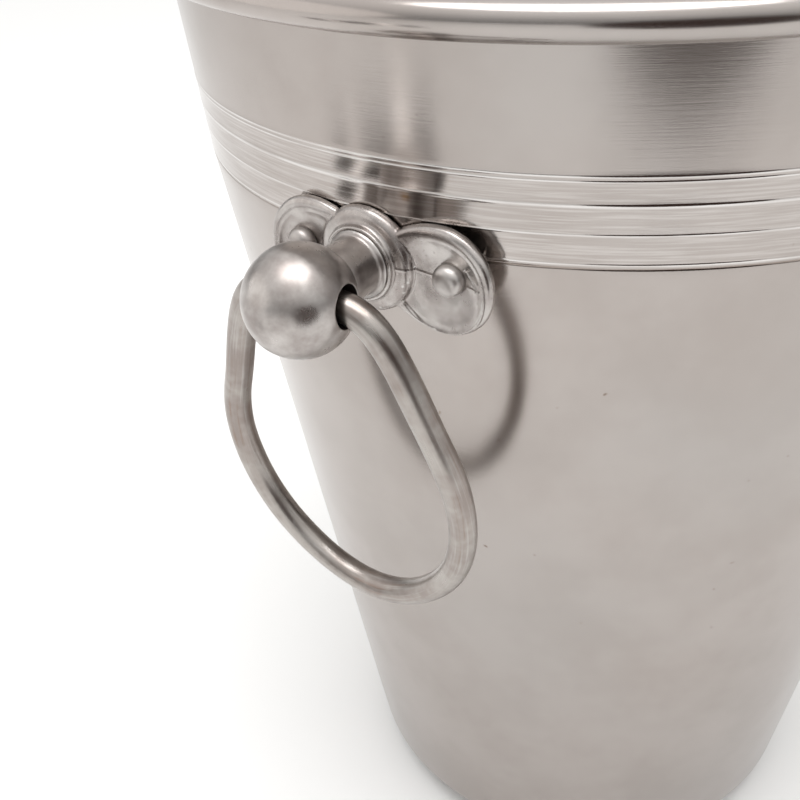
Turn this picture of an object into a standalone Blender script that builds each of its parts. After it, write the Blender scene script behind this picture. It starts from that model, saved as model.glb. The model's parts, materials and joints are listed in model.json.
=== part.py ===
"""Champagne bucket: a spun, tapered bucket with a rim curled over a wire and a foot ring.

On each side a cast escutcheon is riveted to the wall. A turned ball stud stands out of it,
and an open drop ring hangs by its bar in the ball's bore and swings about that bar.

Metres, +Z up. The origin is the centre of the foot ring's underside. The handles sit on the
X axis, the left one at -X. A handle's own frame has X straight out from the bucket's axis,
Y along the wall and Z up, with its origin on the bucket's axis at the height of the ball.
"""

import math

import bpy

MM = 0.001

# Clearances
TOUCH_GAP = 0.3 * MM  # between pieces that rest on each other
SHANK_GAP = 0.3 * MM  # round a shank in its hole
BAR_GAP = 0.2 * MM  # under the ring's bar where it hangs in the bore
BORE_CLEARANCE = 0.7 * MM  # bore larger than the rod, in radius

# Bucket
HEIGHT = 265 * MM  # foot to the top of the rim
WALL = 1.5 * MM
HANDLE_DROP = 50 * MM  # ball centre below the top of the rim
HANDLE_RADIUS = 100 * MM  # outside of the wall at the height of the ball
BREAK_RISE = 3.3 * MM  # the wall steepens this far above the ball
LOWER_SLOPE = 0.1454  # radius gained per height, below the break
UPPER_SLOPE = 0.0844  # and above it
CORNER_RADIUS = 9 * MM  # outside, between the wall and the floor
FLOOR_RISE = 4 * MM  # underside of the floor above the ground
RIM_WIRE_RADIUS = 1.6 * MM
CURL_END = math.radians(-115)  # where the curled sheet stops under the wire
FOOT_WIDTH = 5 * MM
FOOT_INSET = 1 * MM  # foot ring in from the edge of the flat floor
FOOT_CHAMFER = 0.6 * MM

# Ball stud
BALL_RADIUS = 11 * MM
BALL_OUT = 21.4 * MM  # ball centre out from the wall
NECK_RADIUS = 5.9 * MM
NECK_FLARE = 0.6 * MM  # cove at the foot of the neck
SHANK_RADIUS = 3 * MM
BORE_IN = 1.7 * MM  # bore's axis towards the wall from the ball centre
BORE_RISE = 0.5 * MM  # and above it
BORE_FLARE = 0.22  # radius gained per length beyond the straight part of the bar

# Escutcheon
PLATE_FACE = 2.7 * MM  # raised border out from the wall
DISH_DEPTH = 0.7 * MM
BORDER_WIDTH = 2.3 * MM
LOBE_RADIUS = 11 * MM
LOBE_OFFSET = 15.1 * MM  # lobe centres either side of their middle
LOBE_SHIFT = 2 * MM  # that middle to one side of the ball's centre line, as cast
LOBE_DROP = 0.9 * MM  # and below it
BOSS_RADIUS = 10.9 * MM
BOSS_FACE = 3.3 * MM  # out from the wall
BOSS_EDGE = 0.8 * MM  # chamfer round the boss
BOSS_SEAT = 1 * MM  # how far the boss's back reaches in past the plate's
COLLAR_RADIUS = 7.7 * MM
COLLAR_FACE = 5.2 * MM

# Fasteners
RIVET_OFFSET = 17.4 * MM  # either side of their middle
RIVET_SHIFT = 1.4 * MM  # that middle to one side of the ball's centre line
RIVET_HEAD_RADIUS = 3.2 * MM
RIVET_HEAD_HEIGHT = 2 * MM
RIVET_SHANK_RADIUS = 1.6 * MM
RIVET_TAIL_RADIUS = 2.6 * MM
RIVET_TAIL_HEIGHT = 1.2 * MM
RIVET_TAIL_BEVEL = 0.7 * MM
BURR_RADIUS = 4 * MM
BURR_THICKNESS = 1 * MM  # at its thin side
WASHER_RADIUS = 7 * MM
WASHER_THICKNESS = 1 * MM  # at its thin side
NUT_RADIUS = 5.5 * MM  # across its corners, half
NUT_THICKNESS = 3.5 * MM
SHANK_END = 0.8 * MM  # shank past the nut

# Drop ring: half outline across Y and down, from its bar to its bottom
ROD_RADIUS = 2.9 * MM
BEND_INSIDE = 4 * MM  # the bar starts to bend this far inside the ball's mouths
SEAM_HALF = 0.4 * MM  # half the gap where the ends of the rod meet
SIDE_OUT = 18.8 * MM  # where the sides run straight, out from the end of the bar
SIDE_DOWN = 28.8 * MM
SIDE_SPREAD = math.radians(20.6)  # the sides lean out by this much there
RING_DROP = 77.3 * MM  # bar to the bottom of the ring, centre to centre
SHOULDER_PULL = 9.6 * MM  # curve handles: bar, up the side, down the side, bottom
SIDE_PULL_UP = 20.8 * MM
SIDE_PULL_DOWN = 27.7 * MM
BOTTOM_PULL = 17.9 * MM
RING_LEAN = math.radians(7)  # the ring rests leaning in towards the wall

# Fineness: steps round a piece, and along an arc of its profile
BODY_STEPS = 64
WALL_FORM_STEPS = 128
STUD_STEPS = 32
WASHER_STEPS = 32
RIVET_STEPS = 16
NUT_SIDES = 6
BEAD_STEPS = 12
CURL_STEPS = 10
WIRE_STEPS = 8
INSIDE_CORNER_STEPS = 4
OUTSIDE_CORNER_STEPS = 5
BALL_ARC_STEPS = 14
DOME_STEPS = 4
RING_CURVE_STEPS = 12  # along each stretch of the ring's curve
ROD_BEVEL_STEPS = 3
MERGE_DISTANCE = 0.01 * MM

# Places that follow
HANDLE_Z = HEIGHT - HANDLE_DROP
BREAK_Z = HANDLE_Z + BREAK_RISE
CURL_RADIUS = RIM_WIRE_RADIUS + TOUCH_GAP  # inside of the curled sheet
BEAD_RADIUS = CURL_RADIUS + WALL
BEAD_Z = HEIGHT - BEAD_RADIUS
BALL_X = HANDLE_RADIUS + BALL_OUT
BORE_RADIUS = ROD_RADIUS + BORE_CLEARANCE
BAR_HALF = BALL_RADIUS - BEND_INSIDE  # straight bar either side of the middle
SIDE_ACROSS = BAR_HALF + SIDE_OUT
BORE_X = BALL_X - BORE_IN
BAR_Z = BORE_RISE - BORE_RADIUS + BAR_GAP + ROD_RADIUS  # the bar lies on the bore's floor
COLLAR_X = HANDLE_RADIUS + COLLAR_FACE
DISH_X = HANDLE_RADIUS + PLATE_FACE - DISH_DEPTH


def wall_radius(z):
    """The outside radius of the wall at a height."""
    slope = LOWER_SLOPE if z < BREAK_Z else UPPER_SLOPE
    return HANDLE_RADIUS + LOWER_SLOPE * BREAK_RISE + slope * (z - BREAK_Z)


def corner_centre():
    """The centre of the arc between wall and floor, as (radius, height)."""
    lean = math.atan(LOWER_SLOPE)
    z = FLOOR_RISE + CORNER_RADIUS
    touch_z = z - CORNER_RADIUS * math.sin(lean)
    return wall_radius(touch_z) - CORNER_RADIUS * math.cos(lean), z


def arc(centre, radius, start, end, steps):
    """Points (radius, height) along an arc, both ends included."""
    angles = (start + (end - start) * i / steps for i in range(steps + 1))
    return [(centre[0] + radius * math.cos(a), centre[1] + radius * math.sin(a)) for a in angles]


# Scene helpers


def clear_scene():
    for obj in list(bpy.data.objects):
        bpy.data.objects.remove(obj, do_unlink=True)


def new_collection(name):
    collection = bpy.data.collections.new(name)
    bpy.context.scene.collection.children.link(collection)
    return collection


def metal(name, colour, roughness):
    material = bpy.data.materials.new(name)
    material.use_nodes = True
    shader = material.node_tree.nodes["Principled BSDF"]
    shader.inputs["Base Color"].default_value = (*colour, 1)
    shader.inputs["Metallic"].default_value = 1
    shader.inputs["Roughness"].default_value = roughness
    return material


def place(obj, collection, parent=None, location=(0, 0, 0), rotation=(0, 0, 0)):
    collection.objects.link(obj)
    obj.parent = parent
    obj.location = location
    obj.rotation_euler = rotation
    return obj


def turned(name, profile, steps, closed=False):
    """A solid turned about its local Z from a profile of (radius, height), top to bottom.

    An open profile starts and ends on the axis, and a closed one makes a ring.
    """
    mesh = bpy.data.meshes.new(name)
    count = len(profile)
    edges = [(i, i + 1) for i in range(count - 1)]
    if closed:
        edges.append((count - 1, 0))
    mesh.from_pydata([(r, 0, z) for r, z in profile], edges, [])
    obj = bpy.data.objects.new(name, mesh)
    screw = obj.modifiers.new("Turn", "SCREW")
    screw.axis = "Z"
    screw.angle = math.tau
    screw.steps = steps
    screw.render_steps = steps
    screw.use_merge_vertices = True
    screw.merge_threshold = MERGE_DISTANCE
    screw.use_smooth_shade = True
    return obj


def drum(radius, low, high):
    """The profile of a plain cylinder between two heights."""
    return [(0, high), (radius, high), (radius, low), (0, low)]


def boolean(target, tool, operation):
    modifier = target.modifiers.new(f"{operation.title()} {tool.name}", "BOOLEAN")
    modifier.operation = operation
    modifier.solver = "EXACT"
    modifier.object = tool


class Shop:
    """Where pieces and cutters go, and what they are made of."""

    def __init__(self):
        self.pieces = new_collection("champagne_bucket")
        self.cutters = new_collection("cutters")
        self.spun = metal("spun_metal", (0.55, 0.53, 0.50), 0.38)
        self.polished = metal("polished_metal", (0.62, 0.60, 0.57), 0.2)
        self.plain = metal("plain_steel", (0.50, 0.50, 0.50), 0.35)

    def piece(self, obj, material, **where):
        obj.data.materials.append(material)
        return place(obj, self.pieces, **where)

    def cutter(self, obj, **where):
        obj.hide_render = True
        obj.display_type = "WIRE"
        return place(obj, self.cutters, **where)


# Bucket


def shell_profile():
    """The sheet's outline: floor, up the inside, round the rim's curl and down the outside."""
    corner = corner_centre()
    lean = -math.atan(LOWER_SLOPE)
    down = math.radians(-90)
    bead_x = wall_radius(BEAD_Z) - WALL + BEAD_RADIUS
    bead = (bead_x, BEAD_Z)
    inside_corner = arc(corner, CORNER_RADIUS - WALL, down, lean, INSIDE_CORNER_STEPS)
    over_bead = arc(bead, BEAD_RADIUS, math.pi, CURL_END, BEAD_STEPS)
    under_bead = arc(bead, CURL_RADIUS, CURL_END, math.pi, CURL_STEPS)
    outside_corner = arc(corner, CORNER_RADIUS, lean, down, OUTSIDE_CORNER_STEPS)
    return [
        (0, FLOOR_RISE + WALL),
        *inside_corner,
        (wall_radius(BREAK_Z) - WALL, BREAK_Z),
        *over_bead,
        *under_bead,
        (wall_radius(BREAK_Z), BREAK_Z),
        *outside_corner,
        (0, FLOOR_RISE),
    ]


def foot_profile():
    """The foot ring's section, clockwise from the top of its outer side."""
    outer = corner_centre()[0] - FOOT_INSET
    inner = outer - FOOT_WIDTH
    top = FLOOR_RISE - TOUCH_GAP
    return [
        (outer, top),
        (outer, FOOT_CHAMFER),
        (outer - FOOT_CHAMFER, 0),
        (inner + FOOT_CHAMFER, 0),
        (inner, FOOT_CHAMFER),
        (inner, top),
    ]


def wire_profile():
    centre = (wall_radius(BEAD_Z) - WALL + BEAD_RADIUS, BEAD_Z)
    return arc(centre, RIM_WIRE_RADIUS, math.tau, 0, WIRE_STEPS)[:-1]


def make_bucket(shop):
    shell = shop.piece(turned("body_shell", shell_profile(), BODY_STEPS), shop.spun)
    shop.piece(turned("rim_wire", wire_profile(), BODY_STEPS, closed=True), shop.plain)
    shop.piece(turned("foot_ring", foot_profile(), BODY_STEPS, closed=True), shop.spun)
    return shell


def wall_form(offset):
    """The profile of a solid that follows the wall near a handle, moved out by an offset."""
    low = HANDLE_Z - 2 * LOBE_RADIUS
    high = HANDLE_Z + 2 * LOBE_RADIUS
    levels = [high, BREAK_Z, low]
    sides = [(wall_radius(z) + offset, z) for z in levels]
    return [(0, high), *sides, (0, low)]


# Handle pieces, in the handle's frame


OUT = (0, math.radians(90), 0)  # turns a piece's local Z to the handle's X


def stud_profile():
    """Ball, neck, cove and threaded shank, by distance from the bucket's axis."""
    neck_angle = math.pi / 2 - math.asin(NECK_RADIUS / BALL_RADIUS)
    ball = arc((0, BALL_X), BALL_RADIUS, math.pi / 2, -neck_angle, BALL_ARC_STEPS)
    foot = COLLAR_X + TOUCH_GAP
    end = shank_end()
    return [
        (0, BALL_X + BALL_RADIUS),
        *ball[1:],
        (NECK_RADIUS, foot + 2 * NECK_FLARE),
        (NECK_RADIUS + NECK_FLARE, foot),
        (SHANK_RADIUS, foot),
        (SHANK_RADIUS, end),
        (0, end),
    ]


def inner_wall_x(radius, across=0.0):
    """How far out a disc on the inside of the wall reaches, at its lowest and farthest corner."""
    low = wall_radius(HANDLE_Z - radius) - WALL - TOUCH_GAP
    return math.sqrt(low**2 - (across + radius) ** 2)


def washer_inner_x():
    return inner_wall_x(WASHER_RADIUS) - WASHER_THICKNESS


def burr_inner_x(across):
    return inner_wall_x(BURR_RADIUS, abs(across)) - BURR_THICKNESS


def shank_end():
    return washer_inner_x() - TOUCH_GAP - NUT_THICKNESS - SHANK_END


def rivet_profile(burr_x):
    """Domed head on the dish, shank, and the tail peened over the burr."""
    seat = DISH_X + TOUCH_GAP
    tail = burr_x - TOUCH_GAP
    squash = RIVET_HEAD_HEIGHT / RIVET_HEAD_RADIUS
    dome = arc((0, 0), RIVET_HEAD_RADIUS, math.pi / 2, 0, DOME_STEPS)
    return [
        (0, seat + RIVET_HEAD_HEIGHT),
        *((r, seat + squash * z) for r, z in dome[1:]),
        (RIVET_SHANK_RADIUS, seat),
        (RIVET_SHANK_RADIUS, tail),
        (RIVET_TAIL_RADIUS, tail),
        (RIVET_TAIL_RADIUS - RIVET_TAIL_BEVEL, tail - RIVET_TAIL_HEIGHT),
        (0, tail - RIVET_TAIL_HEIGHT),
    ]


def bore_profile():
    """The ball's bore along its own axis: straight for the bar, flared towards both mouths."""
    reach = BALL_RADIUS + TOUCH_GAP
    wide = BORE_RADIUS + BORE_FLARE * (reach - BAR_HALF)
    waist = [(BORE_RADIUS, BAR_HALF), (BORE_RADIUS, -BAR_HALF)]
    return [(0, reach), (wide, reach), *waist, (wide, -reach), (0, -reach)]


def boss_profile():
    """The boss on the escutcheon: a rounded disc with a collar on it."""
    face = HANDLE_RADIUS + BOSS_FACE
    back = HANDLE_RADIUS - BOSS_SEAT
    return [
        (0, COLLAR_X),
        (COLLAR_RADIUS, COLLAR_X),
        (COLLAR_RADIUS, face),
        (BOSS_RADIUS - BOSS_EDGE, face),
        (BOSS_RADIUS, face - BOSS_EDGE),
        (BOSS_RADIUS, back),
        (0, back),
    ]


def ring_spline(curve):
    """The rod's centre line: seam, bar, side, bottom, side, bar, seam."""
    across = math.sin(SIDE_SPREAD)
    down = math.cos(SIDE_SPREAD)
    half = [  # point, the curve handle before it, the curve handle after it
        ((SEAM_HALF, 0), (SEAM_HALF, 0), (SEAM_HALF + BAR_HALF / 3, 0)),
        ((BAR_HALF, 0), (BAR_HALF * 2 / 3, 0), (BAR_HALF + SHOULDER_PULL, 0)),
        (
            (SIDE_ACROSS, SIDE_DOWN),
            (SIDE_ACROSS - across * SIDE_PULL_UP, SIDE_DOWN - down * SIDE_PULL_UP),
            (SIDE_ACROSS + across * SIDE_PULL_DOWN, SIDE_DOWN + down * SIDE_PULL_DOWN),
        ),
    ]
    bottom = ((0, RING_DROP), (BOTTOM_PULL, RING_DROP), (-BOTTOM_PULL, RING_DROP))
    mirrored = [tuple((-y, z) for y, z in (point, after, before)) for point, before, after in half]
    knots = [*half, bottom, *reversed(mirrored)]
    spline = curve.splines.new("BEZIER")
    spline.bezier_points.add(len(knots) - 1)
    for knot, (point, before, after) in zip(spline.bezier_points, knots):
        knot.handle_left_type = "FREE"
        knot.handle_right_type = "FREE"
        knot.co = (0, point[0], -point[1])
        knot.handle_left = (0, before[0], -before[1])
        knot.handle_right = (0, after[0], -after[1])


def make_ring(name, shop, pivot):
    """The drop ring, whose origin is on its bar and on the joint's axis."""
    curve = bpy.data.curves.new(name, "CURVE")
    curve.dimensions = "3D"
    curve.resolution_u = RING_CURVE_STEPS
    curve.bevel_depth = ROD_RADIUS
    curve.bevel_resolution = ROD_BEVEL_STEPS
    curve.use_fill_caps = True
    ring_spline(curve)
    ring = bpy.data.objects.new(name, curve)
    return shop.piece(ring, shop.polished, parent=pivot, rotation=(0, RING_LEAN, 0))


def make_escutcheon(side, hand, shop, handle):
    """Two dished lobes and a boss, fitted to the wall behind.

    Hand is 1 or -1: the side of the handle's frame that the lobes are shifted to.
    """
    face = HANDLE_RADIUS + PLATE_FACE
    lobe = drum(LOBE_RADIUS, HANDLE_RADIUS, face)
    where = {"parent": handle, "rotation": OUT}
    plate = turned(f"escutcheon_{side}", lobe, STUD_STEPS)
    middle = hand * LOBE_SHIFT
    shop.piece(plate, shop.polished, location=(0, middle + LOBE_OFFSET, -LOBE_DROP), **where)
    other = turned(f"lobe_form_{side}", lobe, STUD_STEPS)
    shop.cutter(other, location=(0, middle - LOBE_OFFSET, -LOBE_DROP), **where)
    boolean(plate, other, "UNION")
    dish = drum(LOBE_RADIUS - BORDER_WIDTH, DISH_X, face + TOUCH_GAP)
    for end, across in (("front", -LOBE_OFFSET), ("back", LOBE_OFFSET)):
        hollow = turned(f"dish_form_{side}_{end}", dish, STUD_STEPS)
        shop.cutter(hollow, location=(0, middle + across, -LOBE_DROP), **where)
        boolean(plate, hollow, "DIFFERENCE")
    boss = shop.cutter(turned(f"boss_form_{side}", boss_profile(), STUD_STEPS), **where)
    boolean(plate, boss, "UNION")
    return plate


def make_handle(side, turn, hand, shop, shell):
    handle = bpy.data.objects.new(f"handle_{side}", None)
    place(handle, shop.pieces, location=(0, 0, HANDLE_Z), rotation=(0, 0, turn))
    pivot = bpy.data.objects.new(f"ring_pivot_{side}", None)
    place(pivot, shop.pieces, parent=handle, location=(BORE_X, 0, BAR_Z))
    where = {"parent": handle, "rotation": OUT}
    plate = make_escutcheon(side, hand, shop, handle)
    make_ring(f"drop_ring_{side}", shop, pivot)

    stud = shop.piece(turned(f"ball_stud_{side}", stud_profile(), STUD_STEPS), shop.polished, **where)
    bore = turned(f"bore_{side}", bore_profile(), STUD_STEPS)
    bore_turn = (math.radians(90), 0, 0)
    shop.cutter(bore, parent=handle, location=(BORE_X, 0, BORE_RISE), rotation=bore_turn)
    boolean(stud, bore, "DIFFERENCE")

    # What follows the wall: the escutcheon's back, and the washers inside
    flat = (0, 0, math.pi / WALL_FORM_STEPS)  # a flat of the form, not a corner, faces the handle
    outer_form = turned(f"wall_outside_{side}", wall_form(TOUCH_GAP), WALL_FORM_STEPS)
    shop.cutter(outer_form, rotation=flat)
    boolean(plate, outer_form, "DIFFERENCE")
    inner_form = turned(f"wall_inside_{side}", wall_form(-WALL - TOUCH_GAP), WALL_FORM_STEPS)
    shop.cutter(inner_form, rotation=flat)

    washer = drum(WASHER_RADIUS, washer_inner_x(), HANDLE_RADIUS)
    stud_washer = shop.piece(turned(f"stud_washer_{side}", washer, WASHER_STEPS), shop.plain, **where)
    boolean(stud_washer, inner_form, "INTERSECT")

    nut_top = washer_inner_x() - TOUCH_GAP
    nut = turned(f"stud_nut_{side}", drum(NUT_RADIUS, nut_top - NUT_THICKNESS, nut_top), NUT_SIDES)
    shop.piece(nut, shop.plain, **where)

    # One straight hole takes the shank through plate, wall, washer and nut
    hole = drum(SHANK_RADIUS + SHANK_GAP, shank_end() - TOUCH_GAP, COLLAR_X + TOUCH_GAP)
    stud_hole = shop.cutter(turned(f"stud_hole_{side}", hole, RIVET_STEPS), **where)
    for target in (plate, shell, stud_washer, nut):
        boolean(target, stud_hole, "DIFFERENCE")

    for end, offset in (("front", -RIVET_OFFSET), ("back", RIVET_OFFSET)):
        across = hand * RIVET_SHIFT + offset
        inner = burr_inner_x(across)
        spot = {"location": (0, across, 0), **where}
        shop.piece(turned(f"rivet_{side}_{end}", rivet_profile(inner), RIVET_STEPS), shop.polished, **spot)
        burr_form = drum(BURR_RADIUS, inner, HANDLE_RADIUS)
        burr = shop.piece(turned(f"burr_{side}_{end}", burr_form, RIVET_STEPS), shop.plain, **spot)
        boolean(burr, inner_form, "INTERSECT")
        hole = drum(RIVET_SHANK_RADIUS + SHANK_GAP, inner - TOUCH_GAP, DISH_X + TOUCH_GAP)
        rivet_hole = shop.cutter(turned(f"rivet_hole_{side}_{end}", hole, RIVET_STEPS), **spot)
        for target in (plate, shell, burr):
            boolean(target, rivet_hole, "DIFFERENCE")


def main():
    clear_scene()
    shop = Shop()
    shell = make_bucket(shop)
    make_handle("left", math.pi, 1, shop, shell)
    make_handle("right", 0, -1, shop, shell)


main()
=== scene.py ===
"""Looks of the champagne bucket: spun shell, cast escutcheons, turned ball studs and drop rings."""

import json
import math

import bmesh
import bpy
from mathutils import Matrix, Vector, noise


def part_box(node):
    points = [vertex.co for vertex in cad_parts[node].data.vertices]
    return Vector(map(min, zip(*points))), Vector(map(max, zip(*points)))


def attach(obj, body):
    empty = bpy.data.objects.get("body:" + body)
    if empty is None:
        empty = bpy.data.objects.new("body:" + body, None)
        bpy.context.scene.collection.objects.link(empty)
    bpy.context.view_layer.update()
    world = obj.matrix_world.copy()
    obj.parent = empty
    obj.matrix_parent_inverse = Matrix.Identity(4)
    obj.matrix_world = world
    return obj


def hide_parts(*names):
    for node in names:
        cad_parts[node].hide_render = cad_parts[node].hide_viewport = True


MM = 0.001
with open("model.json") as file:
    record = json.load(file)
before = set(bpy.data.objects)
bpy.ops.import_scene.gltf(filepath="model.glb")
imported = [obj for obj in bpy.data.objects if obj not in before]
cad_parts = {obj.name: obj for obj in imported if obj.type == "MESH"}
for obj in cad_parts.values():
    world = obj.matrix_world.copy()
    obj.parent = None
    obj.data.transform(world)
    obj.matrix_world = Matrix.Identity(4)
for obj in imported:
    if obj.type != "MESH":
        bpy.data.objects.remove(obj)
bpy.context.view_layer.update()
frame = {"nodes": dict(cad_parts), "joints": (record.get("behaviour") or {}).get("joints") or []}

# Places read off the CAD parts
stud_low, stud_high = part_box("ball_stud_left")
plate_low, plate_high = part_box("escutcheon_left")
shell_low, shell_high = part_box("body_shell")
foot_low, foot_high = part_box("foot_ring")
swing = next(j for j in frame["joints"] if j["child"] == "ring_left")

HANDLE_Z = (stud_low.z + stud_high.z) / 2
BALL_RADIUS = (stud_high.y - stud_low.y) / 2
BALL_X = -stud_low.x - BALL_RADIUS
BAR_X, BAR_Z = -swing["pos_m"][0], swing["pos_m"][2] - HANDLE_Z
PLATE_HALF = (plate_high.y - plate_low.y) / 2

# The wall
HANDLE_RADIUS = 100 * MM
WALL = 1.5 * MM
BREAK_RISE = 3.3 * MM
LOWER_SLOPE = 0.1454
UPPER_SLOPE = 0.0844
CORNER_RADIUS = 9 * MM
FOOT_WIDTH = 5 * MM
FLOOR_Z = shell_low.z
BEAD_RADIUS = 3.4 * MM
CURL_RADIUS = BEAD_RADIUS - WALL
CURL_END = math.radians(-115)
BEAD_Z = shell_high.z - BEAD_RADIUS
BREAK_Z = HANDLE_Z + BREAK_RISE

# The stud, its bore and the plate, out from the handle radius
SEAT_X = HANDLE_RADIUS + 4.55 * MM
NECK_RADIUS = 5.9 * MM
NECK_FOOT = 6.85 * MM
SHANK_RADIUS = 3 * MM
THREAD_PITCH = 0.7 * MM
BORE_X = BALL_X - 1.7 * MM
BORE_Z = 0.5 * MM
BORE_RADIUS = 3.6 * MM
BORE_FLARE = 0.11
BAR_HALF = 7 * MM
ROD_RADIUS = 2.9 * MM
LOBE_RADIUS = 11 * MM
LOBE_OFFSET = PLATE_HALF - LOBE_RADIUS
LOBE_SHIFT = -(plate_high.y + plate_low.y) / 2
LOBE_DROP = 0.9 * MM

# Mesh helpers


def smoothstep(low, high, value):
    t = min(1, max(0, (value - low) / (high - low)))
    return t * t * (3 - 2 * t)


def arc(centre, radius, start, end, steps):
    turns = (start + (end - start) * i / steps for i in range(steps + 1))
    return [(centre[0] + radius * math.cos(a), centre[1] + radius * math.sin(a)) for a in turns]


def spun(profile, steps, closed=False):
    """A bmesh turned about Z from a profile of (radius, height)."""
    bm = bmesh.new()
    verts = [bm.verts.new((r, 0, z)) for r, z in profile]
    pairs = list(zip(verts, verts[1:]))
    if closed:
        pairs.append((verts[-1], verts[0]))
    edges = [bm.edges.new(pair) for pair in pairs]
    bmesh.ops.spin(
        bm, geom=verts + edges, axis=(0, 0, 1), cent=(0, 0, 0), angle=math.tau, steps=steps, use_merge=True
    )
    bmesh.ops.remove_doubles(bm, verts=bm.verts, dist=0.001 * MM)
    bmesh.ops.recalc_face_normals(bm, faces=bm.faces)
    return bm


def mesh_object(name, bm, smooth=True):
    mesh = bpy.data.meshes.new(name)
    for face in bm.faces:
        face.smooth = smooth
    bm.to_mesh(mesh)
    bm.free()
    obj = bpy.data.objects.new(name, mesh)
    bpy.context.scene.collection.objects.link(obj)
    return obj


def applied(obj):
    """The object with its modifiers made part of its mesh."""
    graph = bpy.context.evaluated_depsgraph_get()
    mesh = bpy.data.meshes.new_from_object(obj.evaluated_get(graph))
    obj.modifiers.clear()
    obj.data = mesh
    return obj


def cut(obj, tool, operation="DIFFERENCE"):
    """A boolean that is made at once, and the tool thrown away."""
    modifier = obj.modifiers.new("Cut", "BOOLEAN")
    modifier.operation = operation
    modifier.solver = "EXACT"
    modifier.object = tool
    applied(obj)
    bpy.data.objects.remove(tool)
    return obj


OUTWARD = Matrix.Rotation(math.radians(90), 4, "Y")  # a turned piece's Z becomes the handle's X
HANDLE_RISE = Matrix.Translation((0, 0, HANDLE_Z))
SIDES = {"left": HANDLE_RISE @ Matrix.Rotation(math.pi, 4, "Z"), "right": HANDLE_RISE}


def finished(obj, body, slot, finish, *nodes):
    obj.data.materials.clear()
    for each in finish if isinstance(finish, (list, tuple)) else [finish]:
        obj.data.materials.append(each)
    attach(obj, body)
    if nodes:
        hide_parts(*nodes)
    return obj


# Shader helpers


class Amount:
    """A number or vector in a finish; sums on numbers add Math nodes."""

    def __init__(self, finish, socket):
        self.finish, self.socket = finish, socket

    def _sum(self, operation, *values):
        return self.finish.node("ShaderNodeMath", {"operation": operation}, dict(enumerate(values)))

    def __add__(self, other):
        return self._sum("ADD", self, other)

    __radd__ = __add__

    def __sub__(self, other):
        return self._sum("SUBTRACT", self, other)

    def __rsub__(self, other):
        return self._sum("SUBTRACT", other, self)

    def __mul__(self, other):
        return self._sum("MULTIPLY", self, other)

    __rmul__ = __mul__

    def __truediv__(self, other):
        return self._sum("DIVIDE", self, other)

    def __rtruediv__(self, other):
        return self._sum("DIVIDE", other, self)

    def __pow__(self, other):
        return self._sum("POWER", self, other)

    def __abs__(self):
        return self._sum("ABSOLUTE", self)

    def cosine(self):
        return self._sum("COSINE", self)

    def sine(self):
        return self._sum("SINE", self)

    def step(self, low, high, start=0.0, end=1.0):
        """Runs smoothly from start to end as this number goes from low to high."""
        sockets = {0: self, 1: low, 2: high, 3: start, 4: end}
        return self.finish.node("ShaderNodeMapRange", {"interpolation_type": "SMOOTHSTEP"}, sockets)

    def bell(self, centre, width):
        """1 at the centre, falling to 0 at a width either side."""
        return abs(self - centre).step(0, width, 1, 0)


class Finish:
    """A material and the nodes that make it."""

    def __init__(self, name):
        self.material = bpy.data.materials.new(name)
        self.material.use_nodes = True
        self.tree = self.material.node_tree
        self.shader = self.tree.nodes["Principled BSDF"]
        self.place = self.node("ShaderNodeTexCoord", output="Object")

    def node(self, kind, settings=None, sockets=None, output=0):
        made = self.tree.nodes.new(kind)
        for key, value in (settings or {}).items():
            setattr(made, key, value)
        for key, value in (sockets or {}).items():
            self.feed(made.inputs[key], value)
        return Amount(self, made.outputs[output])

    def feed(self, socket, value):
        if isinstance(value, Amount):
            self.tree.links.new(value.socket, socket)
        elif socket.type == "RGBA" and len(value) == 3:
            socket.default_value = (*value, 1)
        else:
            socket.default_value = value

    def set(self, **values):
        for name, value in values.items():
            self.feed(self.shader.inputs[name.replace("_", " ")], value)

    def axes(self, place=None):
        parts = self.node("ShaderNodeSeparateXYZ", None, {0: place or self.place}).socket.node
        return [Amount(self, out) for out in parts.outputs]

    def stretched(self, scale, turn=(0, 0, 0)):
        return self.node("ShaderNodeMapping", {"vector_type": "POINT"}, {0: self.place, 2: turn, 3: scale})

    def grain(self, scale, detail=2.0, roughness=0.5, place=None):
        sockets = {"Vector": place or self.place, "Scale": scale, "Detail": detail, "Roughness": roughness}
        return self.node("ShaderNodeTexNoise", {"normalize": True}, sockets)

    def tint(self, share, plain, tinted):
        """The plain colour, mixed by a share with the tinted one."""
        settings = {"data_type": "RGBA", "clamp_factor": True}
        return self.node("ShaderNodeMix", settings, {0: share, 6: plain, 7: tinted}, output=2)

    def relief(self, height, depth):
        return self.node("ShaderNodeBump", None, {"Strength": 1.0, "Distance": depth, "Height": height})


# Lines left in the wall on the lathe: rise above the ball, half width, height (below 0 where it is a groove)
SCRIBED = [
    (20.7 * MM, 0.24 * MM, 0.07 * MM),
    (19.8 * MM, 0.20 * MM, 0.05 * MM),
    (15.3 * MM, 0.36 * MM, 0.08 * MM),
    (9.8 * MM, 0.22 * MM, 0.05 * MM),
    (4.0 * MM, 0.22 * MM, 0.05 * MM),
    (3.2 * MM, 0.26 * MM, -0.12 * MM),
]
LINE_SHAPE = [(-1.5, 0), (-1.0, 0.25), (-0.6, 0.8), (0, 1), (0.6, 0.8), (1.0, 0.25), (1.5, 0)]


def wall_radius(z):
    slope = LOWER_SLOPE if z < BREAK_Z else UPPER_SLOPE
    return HANDLE_RADIUS + LOWER_SLOPE * BREAK_RISE + slope * (z - BREAK_Z)


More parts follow.
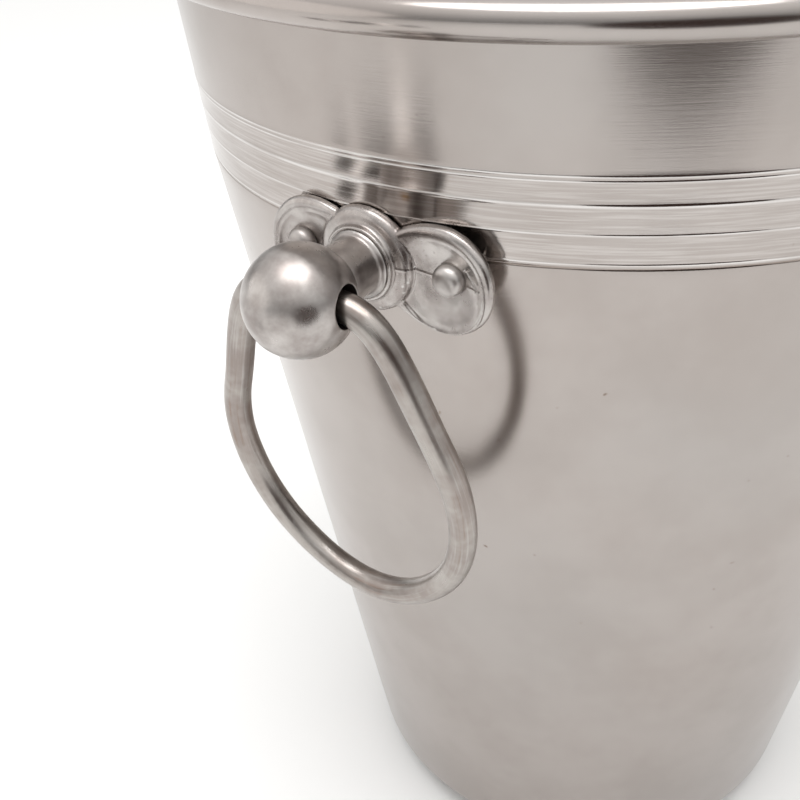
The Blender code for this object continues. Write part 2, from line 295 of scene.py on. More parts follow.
def scribed_wall():
    """Outside of the wall from under the rim's curl to the corner, with its scribed lines."""
    marks = {}
    for rise, half, depth in SCRIBED:
        for along, share in LINE_SHAPE:
            marks[round((HANDLE_Z + rise + along * half) / MM, 3)] = share * depth
    height = BEAD_Z - 0.6 * MM
    levels = []
    while height > 14 * MM:
        levels.append(round(height / MM, 3))
        height -= 2.4 * MM
    spaced = [z for z in levels if all(abs(z - mark) > 0.5 for mark in marks)]
    path = sorted([*spaced, *marks], reverse=True)
    return [(wall_radius(z * MM) + marks.get(z, 0), z * MM) for z in path]


def shell_profile():
    lean = math.atan(LOWER_SLOPE)
    corner_z = FLOOR_Z + CORNER_RADIUS
    corner = (wall_radius(corner_z - CORNER_RADIUS * math.sin(lean)) - CORNER_RADIUS * math.cos(lean), corner_z)
    down = math.radians(-90)
    bead = (wall_radius(BEAD_Z) - WALL + BEAD_RADIUS, BEAD_Z)
    floor = [(corner[0] * share, FLOOR_Z + WALL) for share in (0.0, 0.15, 0.3, 0.45, 0.6, 0.75, 0.9)]
    levels = [BREAK_Z + rise * MM for rise in (-195, -160, -130, -100, -70, -40, -15, 0, 20)]
    inside = [(wall_radius(z) - WALL, z) for z in levels]
    return [
        *floor,
        *arc(corner, CORNER_RADIUS - WALL, down, -lean, 12),
        *inside,
        *arc(bead, BEAD_RADIUS, math.pi, CURL_END, 32),
        *arc(bead, CURL_RADIUS, CURL_END, math.pi, 20)[:-1],
        *scribed_wall(),
        *arc(corner, CORNER_RADIUS, -lean, down, 14),
        *[(corner[0] * share, FLOOR_Z) for share in (0.8, 0.6, 0.4, 0.2, 0.0)],
    ]


def wandering(bm, amount, size, seed):
    """Moves a turned mesh in and out by a slow noise, as hand work leaves it."""
    for vert in bm.verts:
        outward = Vector((vert.co.x, vert.co.y, 0))
        if outward.length > 1 * MM:
            vert.co += outward.normalized() * amount * noise.noise(vert.co / size + Vector((seed, 0, 0)))


def make_shell(finishes):
    bm = spun(shell_profile(), 320)
    wandering(bm, 0.05 * MM, 35 * MM, 3.1)
    for vert in bm.verts:
        # the scribed lines wander a little up and down as they go round
        band = smoothstep(0, 2, 12 - abs((vert.co.z - HANDLE_Z) / MM - 12))
        turn = Vector((vert.co.x, vert.co.y, 0)).normalized() * 1.6
        vert.co.z += band * 0.16 * MM * noise.noise(turn + Vector((0, 0, 7)))
    middle = WALL / 2
    for face in bm.faces:
        centre = face.calc_center_median()
        radius = math.hypot(centre.x, centre.y)
        outside = centre.z < FLOOR_Z + middle or (centre.z < BEAD_Z and radius > wall_radius(centre.z) - middle)
        face.material_index = 0 if outside or centre.z > BEAD_Z - 4 * MM else 1
    shell = mesh_object("spun_shell", bm)
    return finished(shell, "bucket", "spun_pewter", finishes, "body_shell")


def make_foot(finish):
    """The foot ring, with its lower edges eased."""
    outer, top, inner = foot_high.x, foot_high.z, foot_high.x - FOOT_WIDTH
    ease = 0.7 * MM
    profile = [
        (outer - 0.15 * MM, top), (outer, top - 0.25 * MM),
        *arc((outer - ease, ease), ease, 0, -math.pi / 2, 6),
        *arc((inner + ease, ease), ease, -math.pi / 2, -math.pi, 6),
        (inner, top - 0.25 * MM), (inner + 0.15 * MM, top),
    ]
    foot = mesh_object("foot_hoop", spun(profile, 256, closed=True))
    return finished(foot, "bucket", "spun_pewter", finish, "foot_ring")


# The ball stud


def ball_profile():
    """The stud from the ball's top down its neck to its seat, then its threaded shank."""
    lean = math.asin(NECK_RADIUS / BALL_RADIUS)
    ball = arc((0, BALL_X), BALL_RADIUS, math.pi / 2, -(math.pi / 2 - lean), 72)
    neck_top = ball[-1][1]
    foot = SEAT_X + 0.55 * MM
    neck = [
        (NECK_RADIUS - 0.10 * MM, neck_top - 0.10 * MM),
        (NECK_RADIUS - 0.02 * MM, neck_top - 0.4 * MM),
        (NECK_RADIUS + 0.02 * MM, neck_top - 2.0 * MM),
        (NECK_RADIUS, foot + 1.3 * MM),
        (NECK_RADIUS + 0.08 * MM, foot + 0.75 * MM),
        (NECK_RADIUS + 0.40 * MM, foot + 0.25 * MM),
        (NECK_FOOT, foot),
        (NECK_FOOT, SEAT_X + 0.1 * MM),
        (NECK_FOOT - 0.1 * MM, SEAT_X),
    ]
    end = -stud_high.x
    thread = [(SHANK_RADIUS, SEAT_X), (SHANK_RADIUS, end + 6.5 * MM)]
    ridge = end + 6.3 * MM
    while ridge > end + 0.9 * MM:
        thread += [(SHANK_RADIUS, ridge), (SHANK_RADIUS - 0.3 * MM, ridge - THREAD_PITCH / 2)]
        ridge -= THREAD_PITCH
    return [*ball, *neck, *thread, (SHANK_RADIUS - 0.5 * MM, end), (0, end)]


def make_stud(side, finish):
    bm = spun(ball_profile(), 128)
    bmesh.ops.transform(bm, matrix=OUTWARD, verts=bm.verts)
    seed = Vector((0, 0, 4 if side == "left" else 9))
    for vert in bm.verts:
        if vert.co.x > BALL_X - 8 * MM:
            out = vert.co - Vector((BALL_X, 0, 0))
            vert.co += out.normalized() * 0.035 * MM * noise.noise(vert.co / (5 * MM) + seed)
    stud = mesh_object(f"turned_ball_{side}", bm)
    cut(stud, bore_tool())
    stud.data.transform(SIDES[side])
    return finished(stud, "bucket", "polished_pewter", finish, f"ball_stud_{side}")


def bore_tool():
    """What is cut from the ball, along Y: flared, and its mouths eased where they come out through the skin."""
    depths = [4.0, 3.0, 2.0, 1.2, 0.6]  # under the ball's skin, mm
    flare = [(BORE_RADIUS + BORE_FLARE * (4 - d) * MM, -d * MM) for d in depths]
    mouth = flare[-1][0]
    ease = [(0.01, 0.30), (0.04, 0.20), (0.10, 0.10), (0.20, 0.04), (0.30, 0.0), (0.70, -0.12)]
    lip = [(mouth + grow * MM, -depth * MM) for grow, depth in ease]
    top = 1.2 * MM
    tool = spun([(0, top), *reversed([*flare, *lip]), (BORE_RADIUS, -BALL_RADIUS)], 96)
    for vert in tool.verts:
        if vert.co.z < -BALL_RADIUS / 2:
            vert.co.z = 0
        else:
            across = Vector((vert.co.x + BORE_X - BALL_X, vert.co.y + BORE_Z))
            vert.co.z += math.sqrt(BALL_RADIUS**2 - across.length_squared)
    bmesh.ops.mirror(tool, geom=[*tool.verts, *tool.edges, *tool.faces], axis="Z", merge_dist=0.01 * MM)
    lay = Matrix(((1, 0, 0, BORE_X), (0, 0, 1, 0), (0, 1, 0, BORE_Z), (0, 0, 0, 1)))
    bmesh.ops.transform(tool, matrix=lay, verts=tool.verts)
    bmesh.ops.recalc_face_normals(tool, faces=tool.faces)
    return mesh_object("bore_form", tool)


# The cast escutcheon


def wall_tool():
    """A solid that fills the bucket out to a little past its wall."""
    levels = [HANDLE_Z + 22 * MM, BREAK_Z, HANDLE_Z - 22 * MM]
    sides = [(wall_radius(z) + 0.3 * MM, z) for z in levels]
    return mesh_object("wall_form", spun([(0, levels[0]), *sides, (0, levels[-1])], 256))


LOBE_SHAPE = [
    (0, 1.15), (1.5, 1.16), (3, 1.22), (4.5, 1.33), (6, 1.52), (7.2, 1.75), (8.1, 1.98), (8.7, 2.2), (9.1, 2.39),
    (9.4, 2.54), (9.7, 2.65), (10.0, 2.70), (10.3, 2.64), (10.58, 2.45), (10.8, 2.15), (10.94, 1.75), (11, 1.35),
    (10.93, 0.85), (10.7, 0.42), (10.3, 0.14), (9.8, 0), (0, 0),
]
BOSS_SHAPE = [
    (0, 4.5), (6.75, 4.5), (6.85, 4.6), (6.97, 4.82), (7.15, 4.97), (7.32, 5.0), (7.47, 4.93), (7.57, 4.74),
    (7.63, 4.45), (7.7, 4.12), (7.84, 3.84), (8.05, 3.64), (8.35, 3.5), (8.7, 3.43), (9.1, 3.38), (9.5, 3.27),
    (9.9, 3.07), (10.25, 2.78), (10.55, 2.38), (10.76, 1.9), (10.88, 1.4), (10.85, 0.8), (10.6, 0.25),
    (10.2, -0.4), (10, -1), (0, -1),
]
LOBE_STRETCH = 1.36  # a lobe's inner half is drawn out under the boss
DISH_EDGE = 9.3 * MM
DISH_DROP = 1.15 * MM  # the dish sits low in its lobe, and a little inwards
DISH_INWARD = 0.35 * MM


def cast_form(shape, across=0.0, middle=0.0):
    bm = spun([(r * MM, HANDLE_RADIUS + x * MM) for r, x in shape], 96)
    bmesh.ops.transform(bm, matrix=OUTWARD, verts=bm.verts)
    if across:
        side = math.copysign(1, across)
        for vert in bm.verts:
            if vert.co.y * side < 0:
                vert.co.y *= LOBE_STRETCH
        for vert in bm.verts:
            radius = math.hypot(vert.co.y, vert.co.z)
            low = smoothstep(-2 * MM, 10 * MM, -vert.co.z)
            if vert.co.x > HANDLE_RADIUS + 1.2 * MM:
                share = 1 - smoothstep(DISH_EDGE, LOBE_RADIUS, radius)
                vert.co.x -= 0.55 * MM * low * smoothstep(6 * MM, 10 * MM, radius)
                vert.co.z -= DISH_DROP * share
                vert.co.y -= side * DISH_INWARD * share
        bmesh.ops.translate(bm, vec=(0, middle + across, -LOBE_DROP), verts=bm.verts)
    return bm


# Marks on the casting, across and up from the ball's centre line: start, end, half width, height
MARKS = [
    ((8.2 * MM, 0.3 * MM), (15.4 * MM, -0.4 * MM), 0.3 * MM, 0.16 * MM),
    ((-16.0 * MM, -0.2 * MM), (-8.0 * MM, 0.1 * MM), 0.3 * MM, 0.12 * MM),
    ((22.2 * MM, 2.6 * MM), (23.6 * MM, 3.7 * MM), 0.32 * MM, -0.5 * MM),
    ((22.6 * MM, 2.4 * MM), (25.0 * MM, -0.9 * MM), 0.28 * MM, 0.2 * MM),
    ((25.0 * MM, -0.9 * MM), (22.4 * MM, -0.7 * MM), 0.28 * MM, 0.2 * MM),
]


def mark_share(spot, start, end, half):
    """1 on a mark's line, falling to 0 at its half width either side."""
    start, end = Vector(start), Vector(end)
    share = min(1, max(0, (spot - start).dot(end - start) / (end - start).length_squared))
    return 1 - smoothstep(0, half, (spot - start.lerp(end, share)).length)


def make_escutcheon(side, finish):
    """One casting: two dished lobes and a boss with a raised collar, with the parting line of its mould."""
    hand = 1 if side == "left" else -1
    middle = hand * LOBE_SHIFT
    forms = [cast_form(LOBE_SHAPE, offset, middle) for offset in (LOBE_OFFSET, -LOBE_OFFSET)]
    forms.append(cast_form(BOSS_SHAPE))
    whole = bmesh.new()
    for form in forms:
        part = mesh_object("cast_form", form)
        part.data.transform(HANDLE_RISE)
        cut(part, wall_tool())
        whole.from_mesh(part.data)
        bpy.data.objects.remove(part)
    plate = mesh_object(f"cast_escutcheon_{side}", whole)
    skin = plate.modifiers.new("One casting", "REMESH")
    skin.mode = "VOXEL"
    skin.voxel_size = 0.21 * MM
    skin.use_smooth_shade = True
    applied(plate)
    bm = bmesh.new()
    bm.from_mesh(plate.data)
    for _ in range(5):
        bmesh.ops.smooth_vert(bm, verts=bm.verts, factor=0.5, use_axis_x=True, use_axis_y=True, use_axis_z=True)
    for vert in bm.verts:
        vert.co += vert.normal * 0.05 * MM * noise.noise(vert.co / (3.5 * MM) + Vector((5, 0, 0)))
        spot = Vector((vert.co.y * hand, vert.co.z - HANDLE_Z))
        vert.co.x += sum(height * mark_share(spot, start, end, half) for start, end, half, height in MARKS)
    for face in bm.faces:
        face.smooth = True
    bm.to_mesh(plate.data)
    bm.free()
    plate.data.transform(SIDES[side] @ HANDLE_RISE.inverted())
    return finished(plate, "bucket", "polished_pewter", finish, f"escutcheon_{side}")


# Rivets, washers and nuts


RIVET_HEAD = [  # radius, and depth below the head's top
    (0, 0), (0.8, -0.03), (1.5, -0.14), (2.1, -0.36), (2.6, -0.72), (2.95, -1.2), (3.15, -1.75), (3.2, -2.2),
    (3.15, -2.9), (1.6, -2.9),
]
RIVET_TAIL = [(1.6, 1.35), (2.3, 1.25), (2.6, 0.95), (2.55, 0.6), (2.2, 0.25), (1.6, 0.06), (0, 0)]


def make_rivets(side, finish):
    for end in ("front", "back"):
        low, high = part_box(f"rivet_{side}_{end}")
        across = (low.y + high.y) / 2 * (-1 if side == "left" else 1)
        reach = max(abs(low.x), abs(high.x))
        tail = min(abs(low.x), abs(high.x))
        head = [(r * MM, reach + z * MM) for r, z in RIVET_HEAD]
        profile = head + [(r * MM, tail + z * MM) for r, z in RIVET_TAIL]
        bm = spun(profile, 64)
        bmesh.ops.transform(bm, matrix=OUTWARD, verts=bm.verts)
        seed = Vector((0, 0, across * 900))
        for vert in bm.verts:
            vert.co.x += 0.05 * MM * (noise.noise(vert.co / (2.4 * MM) + seed) - 0.5)
        bmesh.ops.translate(bm, vec=(0, across, 0), verts=bm.verts)
        bmesh.ops.transform(bm, matrix=SIDES[side], verts=bm.verts)
        rivet = mesh_object(f"hammered_rivet_{side}_{end}", bm)
        finished(rivet, "bucket", "polished_pewter", finish, f"rivet_{side}_{end}")


NUT_RADIUS = 5.5 * MM  # half, across its corners


def make_nut(side, finish):
    """A hexagon nut, its corners turned off, with its hole and the stud's end through it."""
    low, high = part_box(f"stud_nut_{side}")
    near, far = sorted((abs(low.x), abs(high.x)))
    radius = NUT_RADIUS
    bm = bmesh.new()
    bmesh.ops.create_circle(bm, cap_ends=True, segments=6, radius=radius)
    bmesh.ops.translate(bm, vec=(0, 0, near), verts=bm.verts)
    raised = bmesh.ops.extrude_face_region(bm, geom=bm.faces[:])
    top = [v for v in raised["geom"] if isinstance(v, bmesh.types.BMVert)]
    bmesh.ops.translate(bm, vec=(0, 0, far - near), verts=top)
    bmesh.ops.recalc_face_normals(bm, faces=bm.faces)
    upright = [e for e in bm.edges if abs(e.verts[0].co.z - e.verts[1].co.z) > 1 * MM]
    bmesh.ops.bevel(bm, geom=upright, offset=0.25 * MM, segments=3, affect="EDGES", profile=0.5, material=-1)
    nut = mesh_object(f"hexagon_nut_{side}", bm, smooth=False)
    hole = 3.25 * MM
    flank = radius * math.cos(math.radians(30))
    ease, turned_off, past = 0.35 * MM, 0.8 * MM, radius * 1.02
    turned = [
        (hole + ease, far), (flank * 0.96, far), (past, far - turned_off), (past, near + turned_off),
        (flank * 0.96, near), (hole + ease, near), (hole, near + ease), (hole, far - ease),
    ]
    cut(nut, mesh_object("nut_form", spun(turned, 64, closed=True)), "INTERSECT")
    nut.data.transform(SIDES[side] @ OUTWARD)
    return finished(nut, "bucket", "plain_steel", finish, f"stud_nut_{side}")


# The drop ring

RING_LEAN = math.radians(7)
SIDE_ACROSS = 25.8 * MM
SIDE_DOWN = 28.8 * MM
SIDE_SPREAD = math.radians(20.6)
RING_DROP = 77.3 * MM
SHOULDER_PULL = 9.6 * MM
SIDE_PULL_UP = 20.8 * MM
SIDE_PULL_DOWN = 27.7 * MM
BOTTOM_PULL = 17.9 * MM
SEAM_HALF = 0.4 * MM


def ring_path():
    """Points (across, down) along the rod's middle, from one side of the seam round to the other."""
    lean = Vector((math.sin(SIDE_SPREAD), math.cos(SIDE_SPREAD)))
    bar, side, bottom = Vector((BAR_HALF, 0)), Vector((SIDE_ACROSS, SIDE_DOWN)), Vector((0, RING_DROP))
    stretches = [
        (Vector((SEAM_HALF, 0)), bar / 3, bar * 2 / 3, bar, 8),
        (bar, bar + Vector((SHOULDER_PULL, 0)), side - lean * SIDE_PULL_UP, side, 40),
        (side, side + lean * SIDE_PULL_DOWN, bottom + Vector((BOTTOM_PULL, 0)), bottom, 56),
    ]
    half = []
    for a, b, c, d, steps in stretches:
        for i in range(steps):
            t = i / steps
            half.append(a * (1 - t) ** 3 + b * 3 * t * (1 - t) ** 2 + c * 3 * t * t * (1 - t) + d * t**3)
    other = [Vector((-p.x, p.y)) for p in reversed(half)]
    return [*half, bottom, *other]


def make_ring(side, finish):
    """The rod, drawn round its outline a station at a time, a little uneven where it was bent by hand."""
    path = ring_path()
    body = f"ring_{side}"
    seed = 2.5 if side == "left" else 8.5
    lean = Matrix.Translation((BAR_X, 0, BAR_Z)) @ Matrix.Rotation(RING_LEAN, 4, "Y")
    sides = 40
    bm = bmesh.new()
    bmesh.ops.create_circle(bm, cap_ends=False, segments=sides, radius=ROD_RADIUS)
    section = [v.co.copy() for v in bm.verts]
    loop, edges = bm.verts[:], bm.edges[:]
    uv = bm.loops.layers.uv.new("along_the_rod")
    length = 0.0
    placed = []
    for i, point in enumerate(path):
        before, after = path[max(i - 1, 0)], path[min(i + 1, len(path) - 1)]
        ahead = (after - before).normalized()
        length += (point - before).length
        free = smoothstep(8 * MM, 26 * MM, point.y)
        middle = Vector((0, point.x, -point.y))
        along = Vector((0, ahead.x, -ahead.y))
        flat = Vector((1, 0, 0))
        outward = along.cross(flat)
        spot = Vector((length / (22 * MM), seed, 0))
        wander = Vector((noise.noise(spot), noise.noise(spot + Vector((0, 0, 31))))) * 0.22 * MM * free
        swell = 1 + free * 0.022 * noise.noise(Vector((length / (9 * MM), 0, seed)))
        middle += flat * wander.x + outward * wander.y
        if i:
            made = bmesh.ops.extrude_edge_only(bm, edges=edges)["geom"]
            new = [v for v in made if isinstance(v, bmesh.types.BMVert)]
            edges = [e for e in made if isinstance(e, bmesh.types.BMEdge)]
            # the new vertices keep the old ones' places, which pairs them up
            order = {tuple(v.co): v for v in new}
            loop = [order[tuple(v.co)] for v in loop]
        for vert, spot in zip(loop, section):
            vert.co = lean @ (middle + (flat * spot.x + outward * spot.y) * swell)
        placed.append((length, list(loop)))
    for ends in (placed[0][1], placed[-1][1]):
        rim = [e for e in bm.edges if e.is_boundary and all(v in ends for v in e.verts)]
        bmesh.ops.contextual_create(bm, geom=rim)
    where = {v: (l, i / sides) for l, ring in placed for i, v in enumerate(ring)}
    for face in bm.faces:
        shares = [where[v][1] for v in face.verts]
        wraps = max(shares) - min(shares) > 0.5
        for corner in face.loops:
            run, share = where[corner.vert]
            corner[uv].uv = (run / (100 * MM), share + (1 if wraps and share < 0.5 else 0))
    bmesh.ops.transform(bm, matrix=SIDES[side], verts=bm.verts)
    bmesh.ops.recalc_face_normals(bm, faces=bm.faces)
    ring = mesh_object(f"bent_ring_{side}", bm)
    return finished(ring, body, "polished_pewter", finish, f"drop_ring_{side}")


# Finishes


STAIN = (101.1 * MM, -9.3 * MM)  # a brown spot in the burnished band beside the handle


def spun_finish(name, burnished_and_painted):
    """Satin spun pewter: faint turning marks and soft mottling, and outside a smoother band painted lighter as a
    painted sheen, and its lines, painted pale as a painted highlight where raised and dark as painted shade in the
    groove.
    """
    f = Finish(name)
    x, y, z = f.axes()
    rise = (z - HANDLE_Z) * 1000  # mm above the ball's centre
    mottle = f.grain(38, 4, 0.6)
    cloud = f.grain(11, 3, 0.5)
    turning = f.grain(1, 3, 0.6, f.stretched((60, 60, 2600)))
    fine = f.grain(1, 2, 0.5, f.stretched((180, 180, 9000)))
    speck = f.grain(420, 1, 0.5).step(0.76, 0.80) * f.grain(45, 1, 0.5).step(0.55, 0.62)
    pale, warm, dark = (0.43, 0.39, 0.368), (0.385, 0.345, 0.322), (0.15, 0.09, 0.06)
    colour = f.tint(mottle.step(0.3, 0.7), pale, warm)
    colour = f.tint(cloud.step(0.35, 0.75) * 0.5, colour, (0.40, 0.38, 0.365))
    colour = f.tint(speck * 0.6, colour, dark)
    rough = 0.135 + mottle * 0.06 + turning * 0.05
    if burnished_and_painted:
        band = rise.step(2.6, 4.2) * rise.step(19.5, 21.5, 1, 0)
        rough = rough - band * 0.06
        patchy = f.grain(1, 2, 0.5, f.stretched((55, 55, 200))).step(0.35, 0.6)
        # The lines' colours are painted light: raised lines are painted pale as a painted highlight, and the
        # groove is painted dark as painted shade.
        for height, half, lift in SCRIBED:
            line = rise.bell(height / MM, 1.5 * half / MM) * (patchy * 0.5 + 0.5)
            share, painted_light_colour = (0.62, (0.86, 0.85, 0.84)) if lift > 0 else (0.7, (0.22, 0.17, 0.14))
            colour = f.tint(line * share, colour, painted_light_colour)
        stain = ((x + STAIN[0]) ** 2 + (y - STAIN[1]) ** 2) ** 0.5 * 1000
        stain = stain.step(0.3, 1.5, 1, 0) * rise.bell(13.9, 1.6)
        colour = f.tint(stain * (mottle * 0.6 + 0.4), colour, (0.30, 0.19, 0.10))
        # The band is painted lighter along its turning marks: a painted sheen.
        colour = f.tint(band * turning.step(0.4, 0.7) * 0.45, colour, (0.64, 0.61, 0.59))
    f.set(Base_Color=colour, Metallic=1.0, Roughness=rough, Anisotropic=0.5, Anisotropic_Rotation=0.25)
    height = turning * 0.5 + fine * 0.3 + mottle * 1.5
    f.set(Normal=f.relief(height, 0.012 * MM))
    return f.material


def polished_finish(name, roughness, smudge, pit):
    """Buffed pewter: bright on its crowns, greyer in its corners, with smudges and casting pits."""
    f = Finish(name)
    cloud = f.grain(140, 4, 0.6)
    smear = f.grain(1, 3, 0.6, f.stretched((900, 260, 260), turn=(0.4, 0.9, 0.2)))
    pits = f.grain(1500, 2, 0.6).step(0.66, 0.76)
    edge = f.node("ShaderNodeNewGeometry", output="Pointiness")
    hollow = edge.step(0.40, 0.5, 1, 0)
    crown = edge.step(0.5, 0.6)
    colour = f.tint(cloud.step(0.3, 0.7), (0.53, 0.50, 0.48), (0.32, 0.285, 0.27))
    colour = f.tint(hollow * 0.7, colour, (0.20, 0.165, 0.15))
    colour = f.tint(crown * 0.5, colour, (0.76, 0.75, 0.73))
    rough = roughness + cloud * smudge + smear * smudge * 0.6 + hollow * 0.1 - 0.5 * smudge
    f.set(Base_Color=colour, Metallic=1.0, Roughness=rough)
    f.set(Normal=f.relief(cloud * 0.6 + smear * 0.25 - pits * pit, 0.05 * MM))
    return f.material


def rod_finish(name):
    """Drawn rod, rubbed bright along its length."""
    f = Finish(name)
    along = f.node("ShaderNodeUVMap", {"uv_map": "along_the_rod"})
    run, share, _ = f.axes(along)
    turn = share * math.tau
    round_it = f.node("ShaderNodeCombineXYZ", None, {0: run * 1.4, 1: turn.cosine(), 2: turn.sine()})
    streak = f.grain(4.5, 4, 0.6, round_it)
    cloud = f.grain(120, 3, 0.6)
    pits = f.grain(1400, 2, 0.6).step(0.68, 0.78)
    colour = f.tint(cloud.step(0.3, 0.7), (0.42, 0.39, 0.365), (0.29, 0.25, 0.23))
    colour = f.tint(streak.step(0.30, 0.45, 1, 0) * cloud.step(0.4, 0.6) * 0.5, colour, (0.24, 0.16, 0.12))
    colour = f.tint(streak.step(0.5, 0.8) * 0.4, colour, (0.66, 0.65, 0.63))
    f.set(Base_Color=colour, Metallic=1.0, Roughness=0.19 + streak * 0.14 + cloud * 0.08)
    f.set(Normal=f.relief(streak * 0.8 + cloud * 0.5 - pits * 0.5, 0.05 * MM))
    return f.material


def steel_finish(name):
    f = Finish(name)
    cloud = f.grain(300, 4, 0.6)
    rub = f.grain(1, 3, 0.6, f.stretched((300, 2500, 300)))
    colour = f.tint(cloud.step(0.35, 0.7), (0.56, 0.56, 0.56), (0.42, 0.41, 0.40))
    f.set(Base_Color=colour, Metallic=1.0, Roughness=0.3 + cloud * 0.15)
    f.set(Normal=f.relief(cloud * 0.6 + rub * 0.5, 0.03 * MM))
    return f.material


outside = spun_finish("satin_spun_outside", True)
inside = spun_finish("satin_spun_inside", False)
cast = polished_finish("buffed_casting", 0.22, 0.14, 0.5)
ball = polished_finish("turned_and_buffed", 0.25, 0.18, 0.3)
hammered = polished_finish("hammered_heads", 0.36, 0.14, 0.5)
rod = rod_finish("rubbed_rod")
steel = steel_finish("plain_steel")

make_shell([outside, inside])
make_foot(outside)
for side in ("left", "right"):
    make_escutcheon(side, cast)
    make_stud(side, ball)
    make_ring(side, rod)
    make_rivets(side, hammered)
    make_nut(side, steel)

CAD_STEEL = ["rim_wire"]
for side in ("left", "right"):
    CAD_STEEL += [f"stud_washer_{side}", f"burr_{side}_front", f"burr_{side}_back"]
for name in CAD_STEEL:
    node = frame["nodes"][name]
    node.data.materials.clear()
    node.data.materials.append(steel)

# Floor, light and camera


def make_floor():
    bm = bmesh.new()
    bmesh.ops.create_circle(bm, cap_ends=True, segments=96, radius=6)
    bmesh.ops.translate(bm, vec=(0, 0, foot_low.z - 0.2 * MM), verts=bm.verts)
    floor = mesh_object("pale_floor", bm)
    f = Finish("pale_floor")
    f.set(Base_Color=(0.93, 0.93, 0.925), Roughness=0.8)
    f.shader.inputs["Specular IOR Level"].default_value = 0.1
    floor.data.materials.append(f.material)


def make_light(name, place, aim, size, power):
    data = bpy.data.lights.new(name, "AREA")
    data.shape = "ELLIPSE"
    data.size, data.size_y = size
    data.energy = power
    light = bpy.data.objects.new(name, data)
    bpy.context.scene.collection.objects.link(light)
    light.location = place
    light.rotation_euler = (Vector(aim) - Vector(place)).to_track_quat("-Z", "Y").to_euler()


# Cards round the left handle for the bright metal to reflect: azimuth, elevation, angular size, brightness, colour
DARK, BRIGHT = (0.05, 0.042, 0.037), (1.0, 0.99, 0.97)
CARDS = [
    ("card_dark_1", 131.5, -31, (6, 13), 0, DARK),
    ("card_bright_1", 136.6, -31, (3.2, 14), 1.7, BRIGHT),
    ("card_dark_2", 144.9, -31, (12.2, 13), 0, DARK),
    ("card_bright_2", 153.8, -31, (4.2, 17), 2.3, BRIGHT),
    ("card_dark_3", 159.8, -31, (6.4, 13), 0, DARK),
    ("card_bright_3", 165.3, -34, (3, 8), 1.6, BRIGHT),
    ("card_maker", 229, -3, (48, 40), 0, (0.06, 0.038, 0.033)),
    ("card_window", 128, 14, (64, 40), 1.25, BRIGHT),
]
CARD_DISTANCE = 0.42
WIDEST_SQUARE_CARD = 0.2  # wider cards are round


def make_card(name, azimuth, elevation, size, brightness, colour):
    a, e = math.radians(azimuth), math.radians(elevation)
    ahead = Vector((math.cos(a) * math.cos(e), math.sin(a) * math.cos(e), math.sin(e)))
    width, height = (2 * CARD_DISTANCE * math.tan(math.radians(part / 2)) for part in size)
    bm = bmesh.new()
    square = width < WIDEST_SQUARE_CARD
    segments, radius = (4, math.sqrt(0.5)) if square else (24, 0.5)
    bmesh.ops.create_circle(bm, cap_ends=True, segments=segments, radius=radius)
    if square:
        bmesh.ops.rotate(bm, cent=(0, 0, 0), matrix=Matrix.Rotation(math.radians(45), 3, "Z"), verts=bm.verts)
    bmesh.ops.scale(bm, vec=(width, height, 1), verts=bm.verts)
    turn = (-ahead).to_track_quat("Z", "Y").to_matrix().to_4x4()
    middle = Vector((-HANDLE_RADIUS, 0, HANDLE_Z + 10 * MM)) + ahead * CARD_DISTANCE
    bmesh.ops.transform(bm, matrix=Matrix.Translation(middle) @ turn, verts=bm.verts)
    card = mesh_object(name, bm, smooth=False)
    f = Finish(name)
    f.set(Base_Color=DARK if brightness else colour, Roughness=1.0)
    f.shader.inputs["Specular IOR Level"].default_value = 0
    if brightness:
        f.set(Emission_Color=colour, Emission_Strength=brightness)
    card.data.materials.append(f.material)
    # only reflections see a card
    card.visible_camera = False
    card.visible_diffuse = False
    card.visible_shadow = False


ROOM_LOW, ROOM_HIGH = 0.34, 1.2  # a dim room, brighter overhead


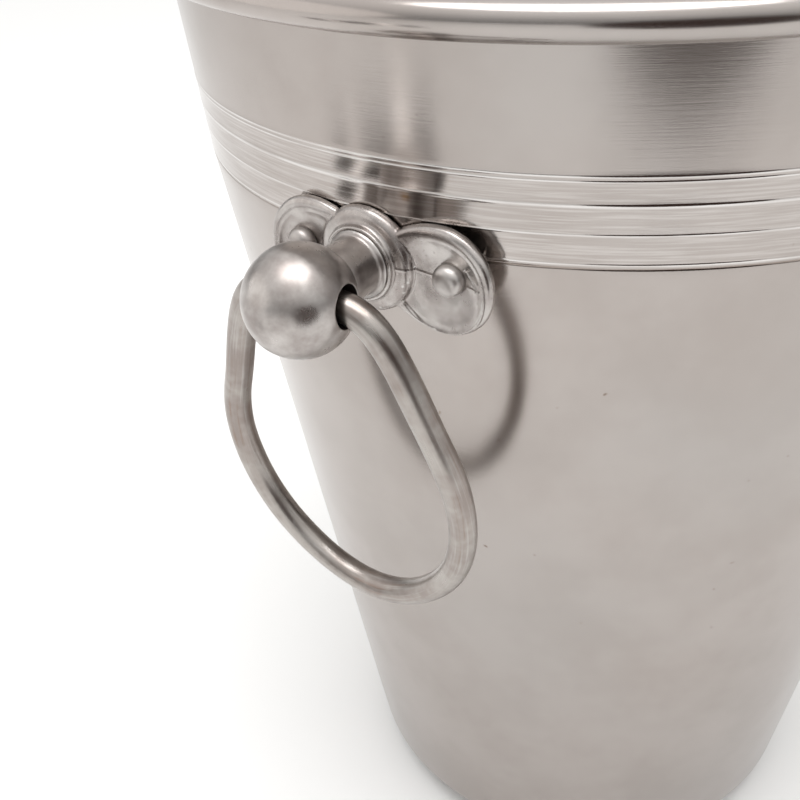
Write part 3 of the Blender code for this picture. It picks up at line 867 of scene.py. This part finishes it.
def make_world():
    """The room round the bucket, in reflections; behind the bucket it is plain white."""
    world = bpy.data.worlds.new("studio")
    bpy.context.scene.world = world
    world.use_nodes = True
    nodes, links = world.node_tree.nodes, world.node_tree.links
    sky = nodes["Background"]
    where = nodes.new("ShaderNodeTexCoord")
    split = nodes.new("ShaderNodeSeparateXYZ")
    climb = nodes.new("ShaderNodeMapRange")
    climb.interpolation_type = "SMOOTHSTEP"
    for socket, value in zip(climb.inputs[1:5], (-0.05, 0.9, ROOM_LOW, ROOM_HIGH)):
        socket.default_value = value
    seen = nodes.new("ShaderNodeLightPath")
    pick = nodes.new("ShaderNodeMix")
    pick.inputs[3].default_value = 1.0
    links.new(where.outputs["Generated"], split.inputs[0])
    links.new(split.outputs["Z"], climb.inputs[0])
    links.new(seen.outputs["Is Camera Ray"], pick.inputs[0])
    links.new(climb.outputs[0], pick.inputs[2])
    links.new(pick.outputs[0], sky.inputs[1])
    sky.inputs[0].default_value = (1, 0.995, 0.985, 1)


# Camera: where it stands, what it looks at, its turn about that line and its lens
CAMERA_PLACE = (-0.24113, -0.11360, HANDLE_Z + 0.08427)
CAMERA_AIM = (-0.1000, -0.00431, HANDLE_Z - 0.03206)
CAMERA_ROLL = -0.0651
CAMERA_LENS = 46.14


def make_camera():
    place = Vector(CAMERA_PLACE)
    forward = (Vector(CAMERA_AIM) - place).normalized()
    right = forward.cross(Vector((0, 0, 1))).normalized()
    up = right.cross(forward)
    across = math.cos(CAMERA_ROLL) * right + math.sin(CAMERA_ROLL) * up
    upright = -math.sin(CAMERA_ROLL) * right + math.cos(CAMERA_ROLL) * up
    data = bpy.data.cameras.new("camera")
    data.lens = CAMERA_LENS
    data.sensor_width = 36
    data.clip_start, data.clip_end = 0.01, 20
    camera = bpy.data.objects.new("camera", data)
    bpy.context.scene.collection.objects.link(camera)
    turn = Matrix((across, upright, -forward)).transposed().to_4x4()
    camera.matrix_world = Matrix.Translation(place) @ turn
    bpy.context.scene.camera = camera


bpy.context.scene.view_settings.view_transform = "Standard"
make_floor()
make_world()
make_light("overhead", (-0.25, -0.05, HANDLE_Z + 1.0), (-0.1, 0, HANDLE_Z), (1.0, 0.66), 6.5)
for card in CARDS:
    make_card(*card)
make_camera()
